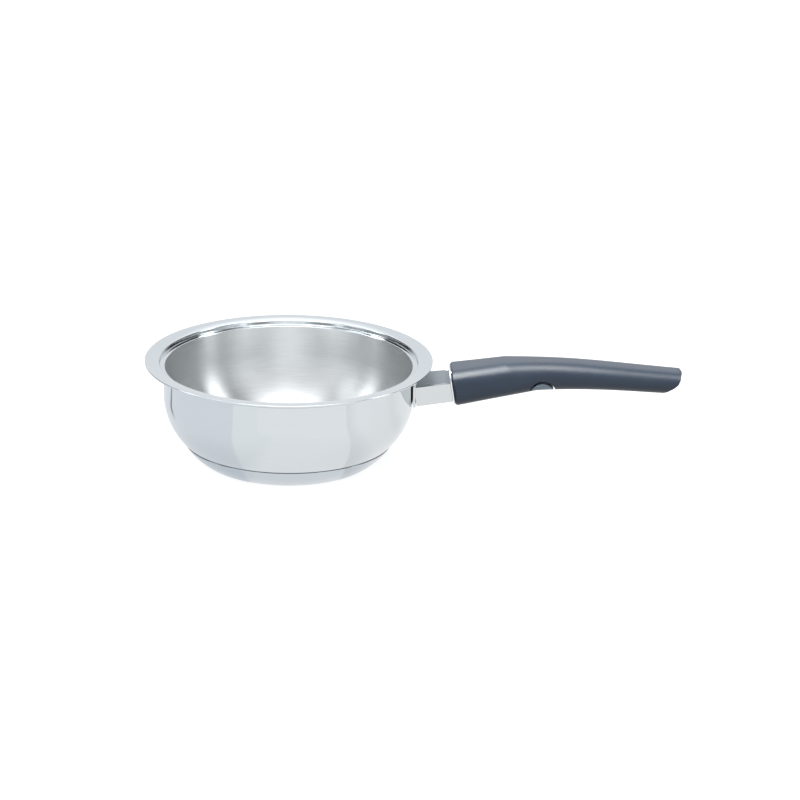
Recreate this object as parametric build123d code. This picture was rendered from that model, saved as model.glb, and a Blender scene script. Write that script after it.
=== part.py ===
from build123d import *
import os
from math import acos, atan2, cos, hypot, radians, sin, sqrt, tau

# Saucier pan with a latched handle. Millimetres and degrees, +Z up, handle along +X.
# The origin is the middle of the underside of the base, on the axis of the pan.

# Bowl, pressed from one sheet
bowl_inner_radius = 100.0
bowl_sheet = 1.4
rim_height = 84.6
flange_width = 12.1
flange_dish = 1.2
flange_edge_round = 1.2
seat_width = 4.4
seat_depth = 3.5
seat_corner_round = 0.9
lip_round = 1.2
bowl_curve_radius = 54.0
bowl_curve_cut = 5.0
floor_curve_radius = 20.0

# Base: a conducting core closed in by a pressed capsule
capsule_sheet = 0.8
core_thickness = 5.8
seam_height = 16.5
seam_edge_round = 0.25
base_flat_radius = 66.0
base_edge_round = 3.0
capsule_curve_radius = 46.0
core_rim_setback = 3.0

# Bracket welded to the wall, its arm rising and narrowing outwards
bracket_rise = 6.7
bracket_height = 16.5
bracket_root_width = 39.0
bracket_tip_width = 34.3
bracket_rim_drop = 25.3
bracket_edge_round = 0.9
bracket_groove_width = 2.3
bracket_groove_depth = 0.9
bracket_groove_setback = 0.7
foot_thickness = 2.0
foot_width = 40.2
foot_height = 17.4
foot_back_radius = 200.0
foot_edge_round = 0.5
guard_gap = 0.15

# Tongue fixed in the bracket, with the window that the latch holds
tongue_width = 22.0
tongue_thickness = 5.0
tongue_drop = 1.4
tongue_root_depth = 18.0
tongue_nose_length = 8.0
tongue_nose_round = 2.0
window_start = 19.6
window_length = 6.4
window_side_gap = 1.2

# Front end of the handle, laid out along its own rising axis
bracket_reach = 30.1
handle_front_lift = 5.0
handle_rise = 9.0
front_width = 39.0
front_height = 31.8
front_squareness = 3.2
front_edge_round = 2.2
guard_thickness = 1.3
guard_inset = 1.4
guard_edge_round = 0.35
crescent_height = 19.8
crescent_depth = 2.2
crescent_drop = 1.0
crescent_side = 15.0

# Knuckle: the slanting section where the rising front turns into the grip,
# its top and bottom measured from the middle of the handle's front face
knuckle_top_reach = 41.8
knuckle_top_rise = 22.0
knuckle_bottom_reach = 68.0
knuckle_bottom_fall = 3.0
knuckle_width = 33.8
knuckle_squareness = 2.8

# Grip, from the knuckle to the rounded end
grip_length = 186.9
grip_width = 29.8
grip_height = 24.8
grip_drop = 5.6
grip_squareness = 2.4
grip_overrun = 3.2
end_nose_rise = 10.3
end_crown_radius = 3.6
end_slope_length = 21.0
end_slope_fall = 16.6
end_bow = 2.3
grip_wall = 3.4
hollow_setback = 36.5

# Plug that closes the hollow end of the grip
plug_inset = 1.8
plug_thickness = 2.2
plug_proud = 1.1
plug_nose_setback = 2.6
plug_spigot_depth = 6.0
plug_clearance = 0.1

# Each grip section as shares: length along, width, height and drop
grip_section_shares = (
    (0.216, 1.00, 1.00, -0.05),
    (0.480, 0.96, 0.90, 0.15),
    (0.744, 0.92, 0.83, 0.60),
    (1.000, 0.88, 0.76, 1.00),
)
section_points = 24

# Latch housing, a folded steel channel inside the front of the handle
housing_sheet = 1.2
housing_clearance = 0.15
housing_end_room = 2.0
housing_flange_side = 0.65
housing_flange_margin = 2.2
housing_flange_sheet = 1.0
housing_flange_round = 3.0
ear_front_reach = 16.0
ear_back_reach = 5.0
ear_margin = 3.6
hook_slot_before = 2.6
hook_slot_after = 3.0
hook_slot_side = 0.8

# Screws through the guard and the housing flange
screw_diameter = 3.0
screw_head_diameter = 5.4
screw_head_depth = 1.2
screw_length = 13.0
screw_spacing = 24.0
screw_clearance = 0.05
screw_socket_width = 2.0
screw_socket_depth = 0.9

# Pivot pin and rocking lever
pivot_distance = 46.0
pivot_drop = 6.0
pin_diameter = 3.0
pin_clearance = 0.05
hub_diameter = 7.4
hub_side_clearance = 0.15
lever_width = 9.6
lever_thickness = 3.0
lever_gap = 0.35
tail_width = 12.0
tail_thickness = 3.4
tail_past_notch = 4.27
hook_front_gap = 0.8
hook_back_gap = 0.4
hook_engagement = 1.6
hook_ramp = 1.4

# Half-moon notch and the button that fills it
notch_reach = 73.6
notch_fall = 2.9
notch_radius = 10.5
button_clearance = 0.5
button_rest_drop = 2.3
button_rest_shift = 0.23

# Return spring, standing on the lever's tail
spring_from_pivot = 12.73
spring_wire = 0.7
spring_mean_radius = 2.5
spring_turns = 6
spring_length = 10.0
spring_bore_clearance = 0.6
spring_end_gap = 0.05

# Room inside the handle for the latch
cavity_side = 0.45
cavity_above = 3.55
cavity_below = 0.6
cavity_end_room = 2.0
hook_room_before = 3.9
hook_room_below = 3.7
hook_room_side = 1.2
tail_room_side = 0.8
tail_room_end = 1.0
tail_room_above = 3.4
tail_room_below = 0.5
cut_overrun = 4.0

# Places that follow from the sizes above
seat_radius = bowl_inner_radius + seat_width
rim_radius = seat_radius + flange_width
flange_inner_level = rim_height - flange_dish
seat_level = flange_inner_level - seat_depth
bowl_outer_radius = bowl_inner_radius + bowl_sheet
floor_outside = capsule_sheet + core_thickness
floor_inside = floor_outside + bowl_sheet
straight_wall_bottom = floor_inside + bowl_curve_radius - bowl_curve_cut
bracket_root_level = rim_height - bracket_rim_drop
handle_front_distance = bowl_outer_radius + bracket_reach
handle_front_level = bracket_root_level + handle_front_lift
knuckle_top_distance = handle_front_distance + knuckle_top_reach
knuckle_top_level = handle_front_level + knuckle_top_rise
knuckle_bottom_distance = handle_front_distance + knuckle_bottom_reach
knuckle_bottom_level = handle_front_level - knuckle_bottom_fall
grip_end_distance = handle_front_distance + grip_length
end_nose_level = handle_front_level + end_nose_rise
hollow_start = knuckle_bottom_distance + hollow_setback
notch_distance = handle_front_distance + notch_reach
notch_level = handle_front_level - notch_fall
housing_inner_width = tongue_width + 2 * housing_clearance
housing_outer_width = housing_inner_width + 2 * housing_sheet
tongue_top = tongue_thickness / 2 - tongue_drop
tongue_bottom = -tongue_thickness / 2 - tongue_drop
housing_top = tongue_top + housing_clearance + housing_sheet
housing_bottom = tongue_bottom - housing_clearance - housing_sheet
housing_flange_width = housing_outer_width + 2 * housing_flange_side
housing_flange_height = screw_spacing + 2 * housing_flange_margin
window_end = window_start + window_length
window_width = lever_width + 2 * window_side_gap
tongue_reach = window_end + tongue_nose_length
housing_length = tongue_reach + housing_end_room
ear_start = pivot_distance - ear_front_reach
ear_end = pivot_distance + ear_back_reach
ear_low = -pivot_drop - ear_margin
hook_start = window_start + hook_front_gap
hook_end = window_end - hook_back_gap
lever_top = housing_bottom - lever_gap
lever_low = lever_top - lever_thickness
front = Location((handle_front_distance, 0, handle_front_level), (0, -handle_rise, 0))
arm = Location((bowl_outer_radius, 0, bracket_root_level), (0, -bracket_rise, 0))
pivot_point = (front * Location((pivot_distance, 0, -pivot_drop))).position
tail_top = pivot_point.Z + tail_thickness / 2
tail_reach = notch_distance + tail_past_notch - pivot_point.X
spring_distance = pivot_point.X + spring_from_pivot
spring_ceiling = tail_top + spring_length + 2 * spring_end_gap
knuckle_distance = (knuckle_top_distance + knuckle_bottom_distance) / 2
knuckle_level = (knuckle_top_level + knuckle_bottom_level) / 2


def block(x0, x1, width, z0, z1):
    """A block between two places along X and two along Z, centred on Y."""
    return Pos((x0 + x1) / 2, 0, (z0 + z1) / 2) * Box(x1 - x0, width, z1 - z0)


def cross_rod(radius, width, x, z):
    """A round rod that lies across the part, along Y."""
    return Pos(x, 0, z) * Rot(90, 0, 0) * Cylinder(radius, width)


def side_solid(outline, width):
    """A closed outline in the XZ plane made a solid, centred on Y."""
    return extrude(Plane.XZ * make_face(outline), width / 2, both=True)


def section_wire(plane, width, height, squareness):
    """A rounded section: an ellipse for squareness 2, boxier above it."""
    points = []
    for step in range(section_points):
        angle = tau * step / section_points
        across = abs(2 * cos(angle) / width) ** squareness
        upwards = abs(2 * sin(angle) / height) ** squareness
        reach = (across + upwards) ** (-1 / squareness)
        points.append(plane.from_local_coords((reach * cos(angle), reach * sin(angle))))
    return Wire([Edge.make_spline(points, periodic=True)])


def bowl_profile(wall_radius, curve, rounding, floor):
    """Half outline of the bowl below its straight wall, down to the axis."""
    centre = wall_radius - curve
    fall = straight_wall_bottom - floor - rounding
    across = sqrt((curve - rounding) ** 2 - fall ** 2)
    angle = atan2(fall, across)
    turn = (angle + tau / 4) / 2
    meet = (centre + curve * cos(angle), straight_wall_bottom - curve * sin(angle))
    on_curve = (centre + curve * cos(angle / 2), straight_wall_bottom - curve * sin(angle / 2))
    on_round = (
        centre + across + rounding * cos(turn), floor + rounding - rounding * sin(turn))
    flat = (centre + across, floor)
    return [
        ThreePointArc((wall_radius, straight_wall_bottom), on_curve, meet),
        ThreePointArc(meet, on_round, flat),
        Line(flat, (0, floor)),
    ]


def bowl_inside():
    return bowl_profile(bowl_inner_radius, bowl_curve_radius, floor_curve_radius, floor_inside)


def bowl_outside():
    return bowl_profile(
        bowl_outer_radius, bowl_curve_radius + bowl_sheet,
        floor_curve_radius + bowl_sheet, floor_outside)


def pan_shell():
    """Bowl with its flat rim flange and the stepped seat for a lid."""
    upper = FilletPolyline(
        (rim_radius, rim_height),
        (seat_radius, flange_inner_level),
        (seat_radius, seat_level),
        (bowl_inner_radius, seat_level),
        (bowl_inner_radius, straight_wall_bottom),
        radius=[flange_edge_round, seat_corner_round, lip_round],
    )
    outer_seat = seat_radius + bowl_sheet
    lower = FilletPolyline(
        (bowl_outer_radius, straight_wall_bottom),
        (bowl_outer_radius, seat_level - bowl_sheet),
        (outer_seat, seat_level - bowl_sheet),
        (outer_seat, flange_inner_level - bowl_sheet),
        (rim_radius, rim_height - bowl_sheet),
        radius=[lip_round + bowl_sheet, seat_corner_round + bowl_sheet, flange_edge_round],
    )
    rim_end = Line((rim_radius, rim_height - bowl_sheet), (rim_radius, rim_height))
    axis_end = Line((0, floor_inside), (0, floor_outside))
    outline = [upper, lower, rim_end, axis_end, *bowl_inside(), *bowl_outside()]
    shell = revolve(Plane.XZ * make_face(outline), Axis.Z)
    rim_edges = shell.edges().filter_by(GeomType.CIRCLE).filter_by(
        lambda edge: abs(edge.radius - rim_radius) < bowl_sheet / 2)
    return fillet(rim_edges, bowl_sheet / 3)


def bowl_envelope():
    """The bowl's outside filled in, up to the foot of its straight wall."""
    top = Line((0, straight_wall_bottom), (bowl_outer_radius, straight_wall_bottom))
    axis_line = Line((0, straight_wall_bottom), (0, floor_outside))
    return revolve(Plane.XZ * make_face([top, axis_line, *bowl_outside()]), Axis.Z)


def base_form(sheet_off):
    """Outside of the base, or its inside when the capsule's sheet is taken off."""
    fall = straight_wall_bottom - seam_height
    curve = bowl_curve_radius + bowl_sheet
    seam_radius = bowl_outer_radius - curve + sqrt(curve ** 2 - fall ** 2)
    top = Vector(seam_radius + capsule_sheet - sheet_off, seam_height)
    corner = Vector(base_flat_radius, base_edge_round)
    corner_round = base_edge_round - sheet_off
    bow = capsule_curve_radius - sheet_off
    reach = corner - top
    spread = bow - corner_round
    inside_angle = acos((bow ** 2 + reach.length ** 2 - spread ** 2) / (2 * bow * reach.length))
    centre_angle = atan2(reach.Y, reach.X) - inside_angle
    centre = top + Vector(bow * cos(centre_angle), bow * sin(centre_angle))
    join_way = (corner - centre).normalized()
    join = centre + join_way * bow
    corner_way = (join_way + Vector(0, -1)).normalized()
    side_way = (join_way + (top - centre).normalized()).normalized()
    outline = [
        Line((0, sheet_off), (base_flat_radius, sheet_off)),
        ThreePointArc(
            (base_flat_radius, sheet_off), corner + corner_way * corner_round, join),
        ThreePointArc(join, centre + side_way * bow, top),
        Line(top, (0, seam_height)),
        Line((0, seam_height), (0, sheet_off)),
    ]
    return revolve(Plane.XZ * make_face(outline), Axis.Z)


def base_capsule():
    """Pressed cap that closes the core in, its edge gripping the bowl's curve."""
    cap = base_form(0) - base_form(capsule_sheet) - bowl_envelope()
    top_edges = cap.edges().filter_by(GeomType.CIRCLE).group_by(Axis.Z)[-1]
    return fillet(top_edges.sort_by(SortBy.RADIUS)[-1], seam_edge_round)


def base_core():
    """Conducting disc with an upturned rim, filling the capsule under the bowl."""
    top = seam_height - core_rim_setback
    keep = Pos(0, 0, top / 2) * Cylinder(2 * base_flat_radius, top)
    return (base_form(capsule_sheet) - bowl_envelope()) & keep


def front_keeper(distance):
    """A large block that starts at a distance along the handle's front axis."""
    reach = grip_end_distance
    return front * block(distance, distance + reach, reach, -reach, reach)


def tongue():
    """Flat tongue with a rounded nose and the window for the latch hook."""
    body = block(-tongue_root_depth, tongue_reach, tongue_width, tongue_bottom, tongue_top)
    nose = body.edges().filter_by(Axis.Z).group_by(Axis.X)[-1]
    body = fillet(nose, tongue_nose_round)
    window = block(
        window_start, window_end, window_width,
        tongue_bottom - cut_overrun, tongue_top + cut_overrun)
    return front * (body - window)


def handle_bracket():
    """Arm and foot: a tapering bar on a plate that hugs the wall."""
    reach = handle_front_distance - bowl_outer_radius + cut_overrun
    root = bracket_root_width / 2
    taper = (bracket_root_width - bracket_tip_width) / 2
    tip = root - taper * reach / (reach - cut_overrun)
    plan = Polyline(
        (-cut_overrun, -root), (reach, -tip), (reach, tip), (-cut_overrun, root), close=True)
    bar = extrude(
        Pos(0, 0, -bracket_height / 2) * make_face(plan), bracket_height)
    long_edges = bar.edges().filter_by(lambda edge: edge.length > reach)
    bar = arm * fillet(long_edges, bracket_edge_round)

    foot_middle = Pos(bowl_outer_radius - foot_back_radius, 0, bracket_root_level)
    plate = foot_middle * (
        Cylinder(foot_back_radius + foot_thickness, foot_height)
        - Cylinder(foot_back_radius, foot_height + cut_overrun))
    plate &= Pos(bowl_outer_radius, 0, bracket_root_level) * Box(
        2 * foot_width, foot_width, 2 * foot_height)
    plate = fillet(plate.edges().filter_by(Axis.Z).group_by(Axis.X)[-1], foot_edge_round)

    wall_room = foot_middle * Cylinder(foot_back_radius + foot_thickness / 2, 2 * foot_height)
    groove = front * block(
        -guard_gap - bracket_groove_setback - bracket_groove_width,
        -guard_gap - bracket_groove_setback, foot_width,
        bracket_height / 2 - tongue_drop - bracket_groove_depth, bracket_height)
    bar = bar - wall_room - front_keeper(-guard_gap) - groove
    return bar + plate - tongue()


def front_plane(distance):
    """Plane across the handle's front axis, at a distance along it."""
    rise = radians(handle_rise)
    return Plane(
        (front * Location((distance, 0, 0))).position,
        x_dir=(0, 1, 0), z_dir=(cos(rise), 0, sin(rise)))


def front_wire(distance, inset):
    """Outline of the handle's front at a distance along its rising axis."""
    return section_wire(
        front_plane(distance), front_width - 2 * inset, front_height - 2 * inset,
        front_squareness)


def knuckle_wire(inset):
    """Outline where the rising front meets the grip, on a slanting plane."""
    run = knuckle_bottom_distance - knuckle_top_distance
    fall = knuckle_top_level - knuckle_bottom_level
    plane = Plane(
        (knuckle_distance, 0, knuckle_level), x_dir=(0, 1, 0), z_dir=(fall, 0, run))
    return section_wire(
        plane, knuckle_width - 2 * inset, hypot(run, fall) - 2 * inset, knuckle_squareness)


def grip_wires(inset):
    """Outlines of the grip, one for each row of its table of shares."""
    reach = grip_end_distance + grip_overrun - knuckle_distance
    wires = []
    for along, wide, high, drop in grip_section_shares:
        plane = Plane(
            (knuckle_distance + along * reach, 0, knuckle_level - drop * grip_drop),
            x_dir=(0, 1, 0), z_dir=(1, 0, 0))
        wires.append(section_wire(
            plane, grip_width * wide - 2 * inset, grip_height * high - 2 * inset,
            grip_squareness))
    return wires


def end_slope(shift):
    """Bowed slope of the handle's end, moved square to itself by a shift."""
    length = hypot(end_slope_length, end_slope_fall)
    out = Vector(end_slope_fall, -end_slope_length) / length
    nose = Vector(grip_end_distance, end_nose_level) + out * shift
    heel = nose - Vector(end_slope_length, end_slope_fall)
    return ThreePointArc(nose, (nose + heel) / 2 + out * end_bow, heel)


def end_keeper(shift):
    """Everything before the end's slope, with the slope moved by a shift."""
    slope = end_slope(shift)
    nose, heel = slope @ 0, slope @ 1
    high = knuckle_top_level + grip_height
    low = knuckle_bottom_level - grip_height
    frame = Polyline(
        heel, (heel.X, low), (knuckle_top_distance - grip_height, low),
        (knuckle_top_distance - grip_height, high), (nose.X, high), nose)
    return side_solid([slope, frame], 2 * grip_width)


def grip_form(inset):
    """The grip's outside, or a smaller one inside it, before its end is cut."""
    return loft([Face(wire) for wire in [knuckle_wire(inset), *grip_wires(inset)]])


def handle_form():
    """The whole outside of the handle, its end crowned above and sloping below."""
    neck = loft([Face(front_wire(guard_thickness, 0)), Face(knuckle_wire(0))], ruled=True)
    neck = fillet(neck.edges().group_by(Axis.X)[0], front_edge_round)
    grip = grip_form(0) & end_keeper(0)
    crown = grip.edges().group_by(Axis.X)[-1].sort_by(Axis.Z)[-1]
    return neck + fillet(crown, end_crown_radius)


def grip_hollow():
    """Room inside the grip, behind the plug."""
    room = grip_form(grip_wall) & end_keeper(-plug_thickness)
    low = knuckle_bottom_level - grip_height
    high = knuckle_top_level + grip_height
    return room & block(hollow_start, grip_end_distance, grip_width, low, high)


def plug_form(inset, shift, nose_setback):
    """Plug at the grip's end, from its back face out to a shift of the slope."""
    core = grip_form(inset) & end_keeper(shift)
    low = knuckle_bottom_level - grip_height
    high = knuckle_top_level + grip_height
    nose = grip_end_distance - nose_setback
    return (core & block(hollow_start, nose, 2 * grip_width, low, high)) - end_keeper(
        -plug_thickness)


def end_plug():
    """Plug with a spigot that fits the hollow of the grip."""
    plug = plug_form(plug_inset + plug_clearance, plug_proud, plug_nose_setback)
    spigot = grip_form(grip_wall + plug_clearance) & end_keeper(-plug_thickness)
    return plug + (spigot - end_keeper(-plug_thickness - plug_spigot_depth))


def notch_rod(radius, shift, drop):
    """Rod across the handle whose upper half makes the half-moon."""
    return cross_rod(radius, 2 * front_width, notch_distance - shift, notch_level - drop)


def side_crescents():
    """The hollowed front edges of the handle's side walls."""
    radius = (crescent_height ** 2 / 4 + crescent_depth ** 2) / (2 * crescent_depth)
    centre = guard_thickness + crescent_depth - radius
    rod = cross_rod(radius, 2 * front_width, centre, -crescent_drop)
    middle = block(
        centre - 2 * radius, centre + 2 * radius, 2 * crescent_side, -front_height, front_height)
    return front * (rod - middle)


def latch_room():
    """Room for the housing, the lever, the flange and the spring."""
    pocket = block(
        0, guard_thickness + housing_flange_sheet, housing_flange_width + 2 * housing_clearance,
        -housing_flange_height / 2 - housing_clearance,
        housing_flange_height / 2 + housing_clearance)
    end = ear_end + cavity_end_room
    main_room = block(
        0, end, housing_outer_width + 2 * cavity_side, ear_low - cavity_below,
        housing_top + cavity_above)
    hook_room = block(
        hook_start - hook_room_before, end, lever_width + 2 * hook_room_side,
        lever_low - hook_room_below, 0)
    tail_room = block(
        pivot_point.X, pivot_point.X + tail_reach + tail_room_end,
        tail_width + 2 * tail_room_side,
        pivot_point.Z - tail_thickness / 2 - tail_room_below, tail_top + tail_room_above)
    bore_radius = spring_mean_radius + spring_wire / 2 + spring_bore_clearance
    depth = spring_ceiling - pivot_point.Z
    bore = Pos(spring_distance, 0, spring_ceiling - depth / 2) * Cylinder(bore_radius, depth)
    return front * (pocket + main_room + hook_room) + tail_room + bore


def screw_places():
    """Where the two screws sit, above and below the tongue."""
    return [front * Location((0, 0, side * screw_spacing / 2)) for side in (1, -1)]


def screw_form(clearance):
    """A countersunk screw along the handle's axis, or its hole."""
    shank = Rot(0, 90, 0) * Cylinder(
        screw_diameter / 2 + clearance, screw_length,
        align=(Align.CENTER, Align.CENTER, Align.MIN))
    head = Rot(0, 90, 0) * Cone(
        screw_head_diameter / 2 + clearance, screw_diameter / 2 + clearance, screw_head_depth,
        align=(Align.CENTER, Align.CENTER, Align.MIN))
    return shank + head


def guard_screws():
    """Two countersunk screws with hexagon sockets."""
    socket = Rot(0, 90, 0) * extrude(
        RegularPolygon(screw_socket_width / 2, 6), screw_socket_depth)
    screw = screw_form(0) - socket
    return [place * screw for place in screw_places()]


def screw_holes():
    return [place * screw_form(screw_clearance) for place in screw_places()]


def heat_guard():
    """Thin steel face between the bracket and the handle."""
    plate = extrude(Face(front_wire(0, guard_inset)), guard_thickness, dir=front_plane(0).z_dir)
    rim = plate.edges().filter_by(lambda edge: edge.length > 2 * front_height)
    plate = fillet(rim, guard_edge_round)
    window = front * block(
        -cut_overrun, cut_overrun, housing_inner_width,
        tongue_bottom - housing_clearance, tongue_top + housing_clearance)
    return plate - window - screw_holes()


def latch_housing():
    """Steel channel that guides the tongue and carries the lever's pin."""
    start = guard_thickness
    flange = block(
        start, start + housing_flange_sheet, housing_flange_width,
        -housing_flange_height / 2, housing_flange_height / 2)
    flange = fillet(flange.edges().filter_by(Axis.X), housing_flange_round)
    tube = block(start, housing_length, housing_outer_width, housing_bottom, housing_top)
    ears = block(ear_start, ear_end, housing_outer_width, ear_low, housing_top)
    ears = fillet(ears.edges().filter_by(Axis.Y), housing_sheet)
    ears -= block(
        ear_start - cut_overrun, ear_end + cut_overrun, housing_inner_width,
        ear_low - cut_overrun, housing_top + cut_overrun)
    room = block(
        0, ear_end, housing_inner_width, tongue_bottom - housing_clearance,
        tongue_top + housing_clearance)
    hook_slot = block(
        window_start - hook_slot_before, window_end + hook_slot_after,
        lever_width + 2 * hook_slot_side, housing_bottom - cut_overrun, 0)
    pin_hole = cross_rod(pin_diameter / 2, 2 * front_width, pivot_distance, -pivot_drop)
    return front * (flange + tube + ears - room - hook_slot - pin_hole) - screw_holes()


def pivot_pin():
    return front * cross_rod(
        pin_diameter / 2, housing_outer_width, pivot_distance, -pivot_drop)


def tail():
    """Level tail of the lever, which carries the button."""
    return block(
        pivot_point.X, pivot_point.X + tail_reach, tail_width,
        pivot_point.Z - tail_thickness / 2, tail_top)


def latch_lever():
    """Rocking lever: hook in front, hub on the pin, level tail behind."""
    hub_width = housing_inner_width - 2 * hub_side_clearance
    hub = cross_rod(hub_diameter / 2, hub_width, pivot_distance, -pivot_drop)
    bar = block(hook_start, pivot_distance, lever_width, lever_low, lever_top)
    tip = tongue_bottom + hook_engagement
    hook = side_solid(
        Polyline(
            (hook_start, lever_low), (hook_end, lever_low), (hook_end, tip),
            (hook_start + hook_ramp, tip),
            (hook_start, tip - hook_ramp), close=True),
        lever_width)
    hole = front * cross_rod(
        pin_diameter / 2 + pin_clearance, 2 * front_width, pivot_distance, -pivot_drop)
    return front * (hub + bar + hook) + tail() - hole


def release_button(form):
    """Half-moon button whose outside follows the handle's own surface."""
    moon = notch_rod(notch_radius - button_clearance, button_rest_shift, button_rest_drop)
    return (form & moon) - tail()


def return_spring():
    """Coil spring between the lever's tail and the roof of its bore."""
    height = spring_length - spring_wire
    start = Pos(spring_distance, 0, tail_top + spring_end_gap + spring_wire / 2)
    coil = Helix(height / spring_turns, height, spring_mean_radius)
    section = Plane(coil @ 0, z_dir=coil % 0) * Circle(spring_wire / 2)
    return start * sweep(section, path=coil)


def handle_body(form):
    """Moulded handle with the latch room, the notch and the plug's seat."""
    seat = plug_form(plug_inset, plug_proud, plug_nose_setback - plug_clearance)
    return (form - latch_room() - notch_rod(notch_radius, 0, 0) - side_crescents()
            - screw_holes() - grip_hollow() - seat)


def main():
    os.makedirs("parts", exist_ok=True)
    form = handle_form()
    pieces = {
        "pan_shell": pan_shell(),
        "base_capsule": base_capsule(),
        "base_core": base_core(),
        "handle_bracket": handle_bracket(),
        "latch_tongue": tongue(),
        "heat_guard": heat_guard(),
        "guard_screws": Compound(guard_screws()),
        "latch_housing": latch_housing(),
        "handle_body": handle_body(form),
        "end_plug": end_plug(),
        "latch_lever": latch_lever(),
        "release_button": release_button(form),
        "pivot_pin": pivot_pin(),
        "return_spring": return_spring(),
    }
    for name, piece in pieces.items():
        export_step(piece, f"parts/{name}.step")


main()
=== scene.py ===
"""Looks of a saucier pan around its packed construction. Metres, +Z up, handle along +X."""

import logging
import math
from dataclasses import dataclass
from enum import Enum
from typing import Union

import bmesh
import bpy
from mathutils import Matrix, Vector

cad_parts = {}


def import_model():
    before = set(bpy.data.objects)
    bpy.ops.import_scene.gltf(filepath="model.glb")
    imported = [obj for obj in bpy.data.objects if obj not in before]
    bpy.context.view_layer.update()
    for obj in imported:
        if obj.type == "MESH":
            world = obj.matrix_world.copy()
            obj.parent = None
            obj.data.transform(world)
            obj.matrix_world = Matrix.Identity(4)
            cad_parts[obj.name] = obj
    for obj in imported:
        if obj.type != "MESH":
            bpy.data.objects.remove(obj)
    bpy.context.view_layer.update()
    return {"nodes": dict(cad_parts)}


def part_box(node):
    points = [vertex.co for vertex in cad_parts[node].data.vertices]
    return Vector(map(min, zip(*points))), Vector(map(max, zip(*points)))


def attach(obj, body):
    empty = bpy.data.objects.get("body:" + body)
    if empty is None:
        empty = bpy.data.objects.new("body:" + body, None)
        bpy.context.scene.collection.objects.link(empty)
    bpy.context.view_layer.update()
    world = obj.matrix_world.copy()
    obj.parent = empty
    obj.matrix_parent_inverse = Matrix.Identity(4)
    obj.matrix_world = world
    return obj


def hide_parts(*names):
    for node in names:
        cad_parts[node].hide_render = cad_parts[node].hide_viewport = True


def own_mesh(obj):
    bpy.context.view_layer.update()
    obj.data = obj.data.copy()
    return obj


LOG = logging.getLogger("saucier")
MM = 0.001
PAN_BODY = "pan"

Point = tuple[float, float]
Span = tuple[float, float]
Place = tuple[float, float, float]
Colour = tuple[float, float, float]
Value = Union[float, bpy.types.NodeSocket]

WHITE: Colour = (1.0, 1.0, 1.0)
UPWARD = Vector((0.0, 0.0, 1.0))


class Side(Enum):
    """Faces of the sheet, each with a finish of its own."""

    OUTSIDE = 0
    INSIDE = 1


@dataclass(frozen=True)
class Grain:
    """One layer of noise: how fine it is, and how much smaller detail it holds."""

    scale: float
    detail: float
    roughness: float = 0.5


def opaque(colour: Colour) -> tuple[float, float, float, float]:
    """A colour with the full alpha that a socket asks for."""
    return (*colour, 1.0)


def darker(colour: Colour, share: float) -> Colour:
    """A colour less a share of itself."""
    return tuple(channel * (1.0 - share) for channel in colour)


class Nodes:
    """A short way to add and join the nodes of a tree."""

    prefix = ""

    def __init__(self, tree: bpy.types.NodeTree) -> None:
        """Keeps the tree that gets the nodes."""
        self.tree = tree

    def add(self, kind: str, inputs: dict | None = None, **settings) -> bpy.types.Node:
        """Adds one node.

        Args:
            kind: The node's type name, after the prefix that the tree's nodes share.
            inputs: Values or sockets for its inputs, by name or number.
            settings: Properties of the node itself.

        Returns:
            The new node.
        """
        node = self.tree.nodes.new(self.prefix + kind)
        for name, value in settings.items():
            setattr(node, name, value)
        for key, value in (inputs or {}).items():
            if isinstance(value, bpy.types.NodeSocket):
                self.tree.links.new(value, node.inputs[key])
            else:
                node.inputs[key].default_value = value
        return node


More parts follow.
